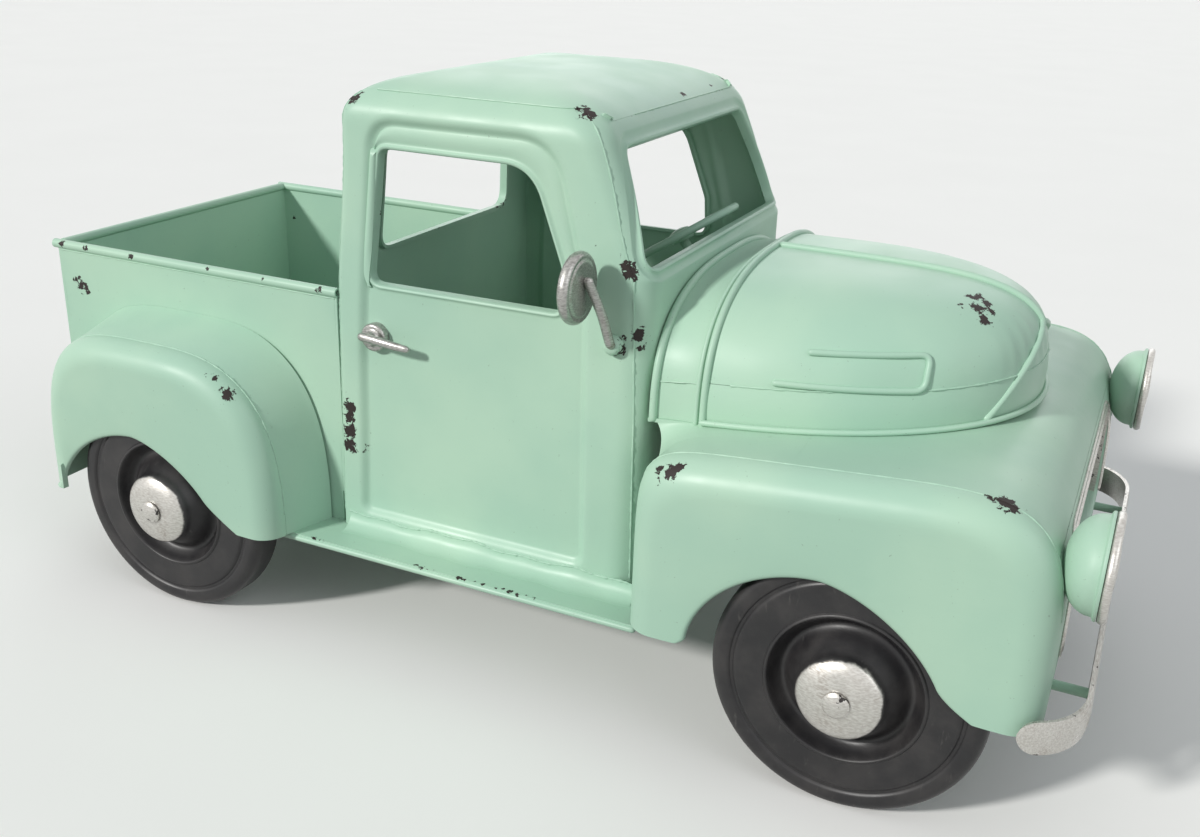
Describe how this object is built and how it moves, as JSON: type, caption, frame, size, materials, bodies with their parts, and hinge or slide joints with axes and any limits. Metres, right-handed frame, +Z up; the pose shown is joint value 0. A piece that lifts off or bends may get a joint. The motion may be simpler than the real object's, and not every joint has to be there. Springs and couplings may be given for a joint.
{
  "type": "push along truck",
  "caption": "Pressed-metal push-along toy pickup truck with an open bed, rounded cab and hood, spinning wheels, headlights, mirrors and bumper.",
  "frame": {"origin": "bottom centre of the whole truck, on the ground", "axes": "+X towards the front bumper, +Y to the truck's left, +Z up"},
  "size_m": [0.4048, 0.2136, 0.207],
  "materials": {
    "mint_paint": "satin pale mint green, chipped at the edges",
    "black_paint": "satin black",
    "silver_paint": "hand-brushed silver",
    "bare_steel": "satin pale mint green"
  },
  "bodies": {
    "chassis": {"bed_floor": "mint_paint", "bed_side_right": "mint_paint", "bed_side_left": "mint_paint", "bed_front_panel": "mint_paint", "tailgate": "mint_paint", "rear_fender_right": "mint_paint", "rear_fender_left": "mint_paint", "rear_arch_right": "mint_paint", "rear_arch_left": "mint_paint", "floor_pan": "mint_paint", "running_board_right": "mint_paint", "running_board_left": "mint_paint", "cab_side_right": "mint_paint", "cab_side_left": "mint_paint", "cab_back_panel": "mint_paint", "cab_front_panel": "mint_paint", "cab_roof": "mint_paint", "cowl": "mint_paint", "hood_top": "mint_paint", "hood_skirt": "mint_paint", "hood_centre_bead": "mint_paint", "nose_panel": "mint_paint", "front_fender_right": "mint_paint", "front_fender_left": "mint_paint", "grille_panel": "mint_paint", "grille_bars": "silver_paint", "grille_trim": "silver_paint", "frame_rail_right": "bare_steel", "frame_rail_left": "bare_steel", "front_axle_bracket": "bare_steel", "rear_axle_bracket": "bare_steel", "front_axle": "silver_paint", "rear_axle": "silver_paint", "bumper": "silver_paint", "bumper_brackets": "mint_paint", "headlight_bowl_right": "mint_paint", "headlight_bowl_left": "mint_paint", "headlight_face_right": "silver_paint", "headlight_face_left": "silver_paint", "mirror_head_right": "silver_paint", "mirror_head_left": "silver_paint", "mirror_arm_right": "mint_paint", "mirror_arm_left": "mint_paint", "door_handle_right": "silver_paint", "door_handle_left": "silver_paint", "column_bracket": "mint_paint"},
    "wheel_front_right": {"wheel_face_front_right": "black_paint", "wheel_back_front_right": "black_paint", "hub_bush_front_right": "bare_steel"},
    "wheel_front_left": {"wheel_face_front_left": "black_paint", "wheel_back_front_left": "black_paint", "hub_bush_front_left": "bare_steel"},
    "wheel_rear_right": {"wheel_face_rear_right": "black_paint", "wheel_back_rear_right": "black_paint", "hub_bush_rear_right": "bare_steel"},
    "wheel_rear_left": {"wheel_face_rear_left": "black_paint", "wheel_back_rear_left": "black_paint", "hub_bush_rear_left": "bare_steel"},
    "steering": {"steering_wheel": "mint_paint", "steering_column": "mint_paint"}
  },
  "joints": [
    {"name": "wheel_front_right_spin", "type": "hinge", "parent": "chassis", "child": "wheel_front_right", "pos_m": [0.13385, -0.089, 0.043], "axis": [0, 1, 0], "continuous": true},
    {"name": "wheel_front_left_spin", "type": "hinge", "parent": "chassis", "child": "wheel_front_left", "pos_m": [0.13385, 0.089, 0.043], "axis": [0, 1, 0], "continuous": true},
    {"name": "wheel_rear_right_spin", "type": "hinge", "parent": "chassis", "child": "wheel_rear_right", "pos_m": [-0.13015, -0.089, 0.043], "axis": [0, 1, 0], "continuous": true},
    {"name": "wheel_rear_left_spin", "type": "hinge", "parent": "chassis", "child": "wheel_rear_left", "pos_m": [-0.13015, 0.089, 0.043], "axis": [0, 1, 0], "continuous": true},
    {"name": "steering_spin", "type": "hinge", "parent": "chassis", "child": "steering", "pos_m": [0.02485, 0.03, 0.1426], "axis": [-0.5476, 0, 0.8368], "continuous": true}
  ]
}
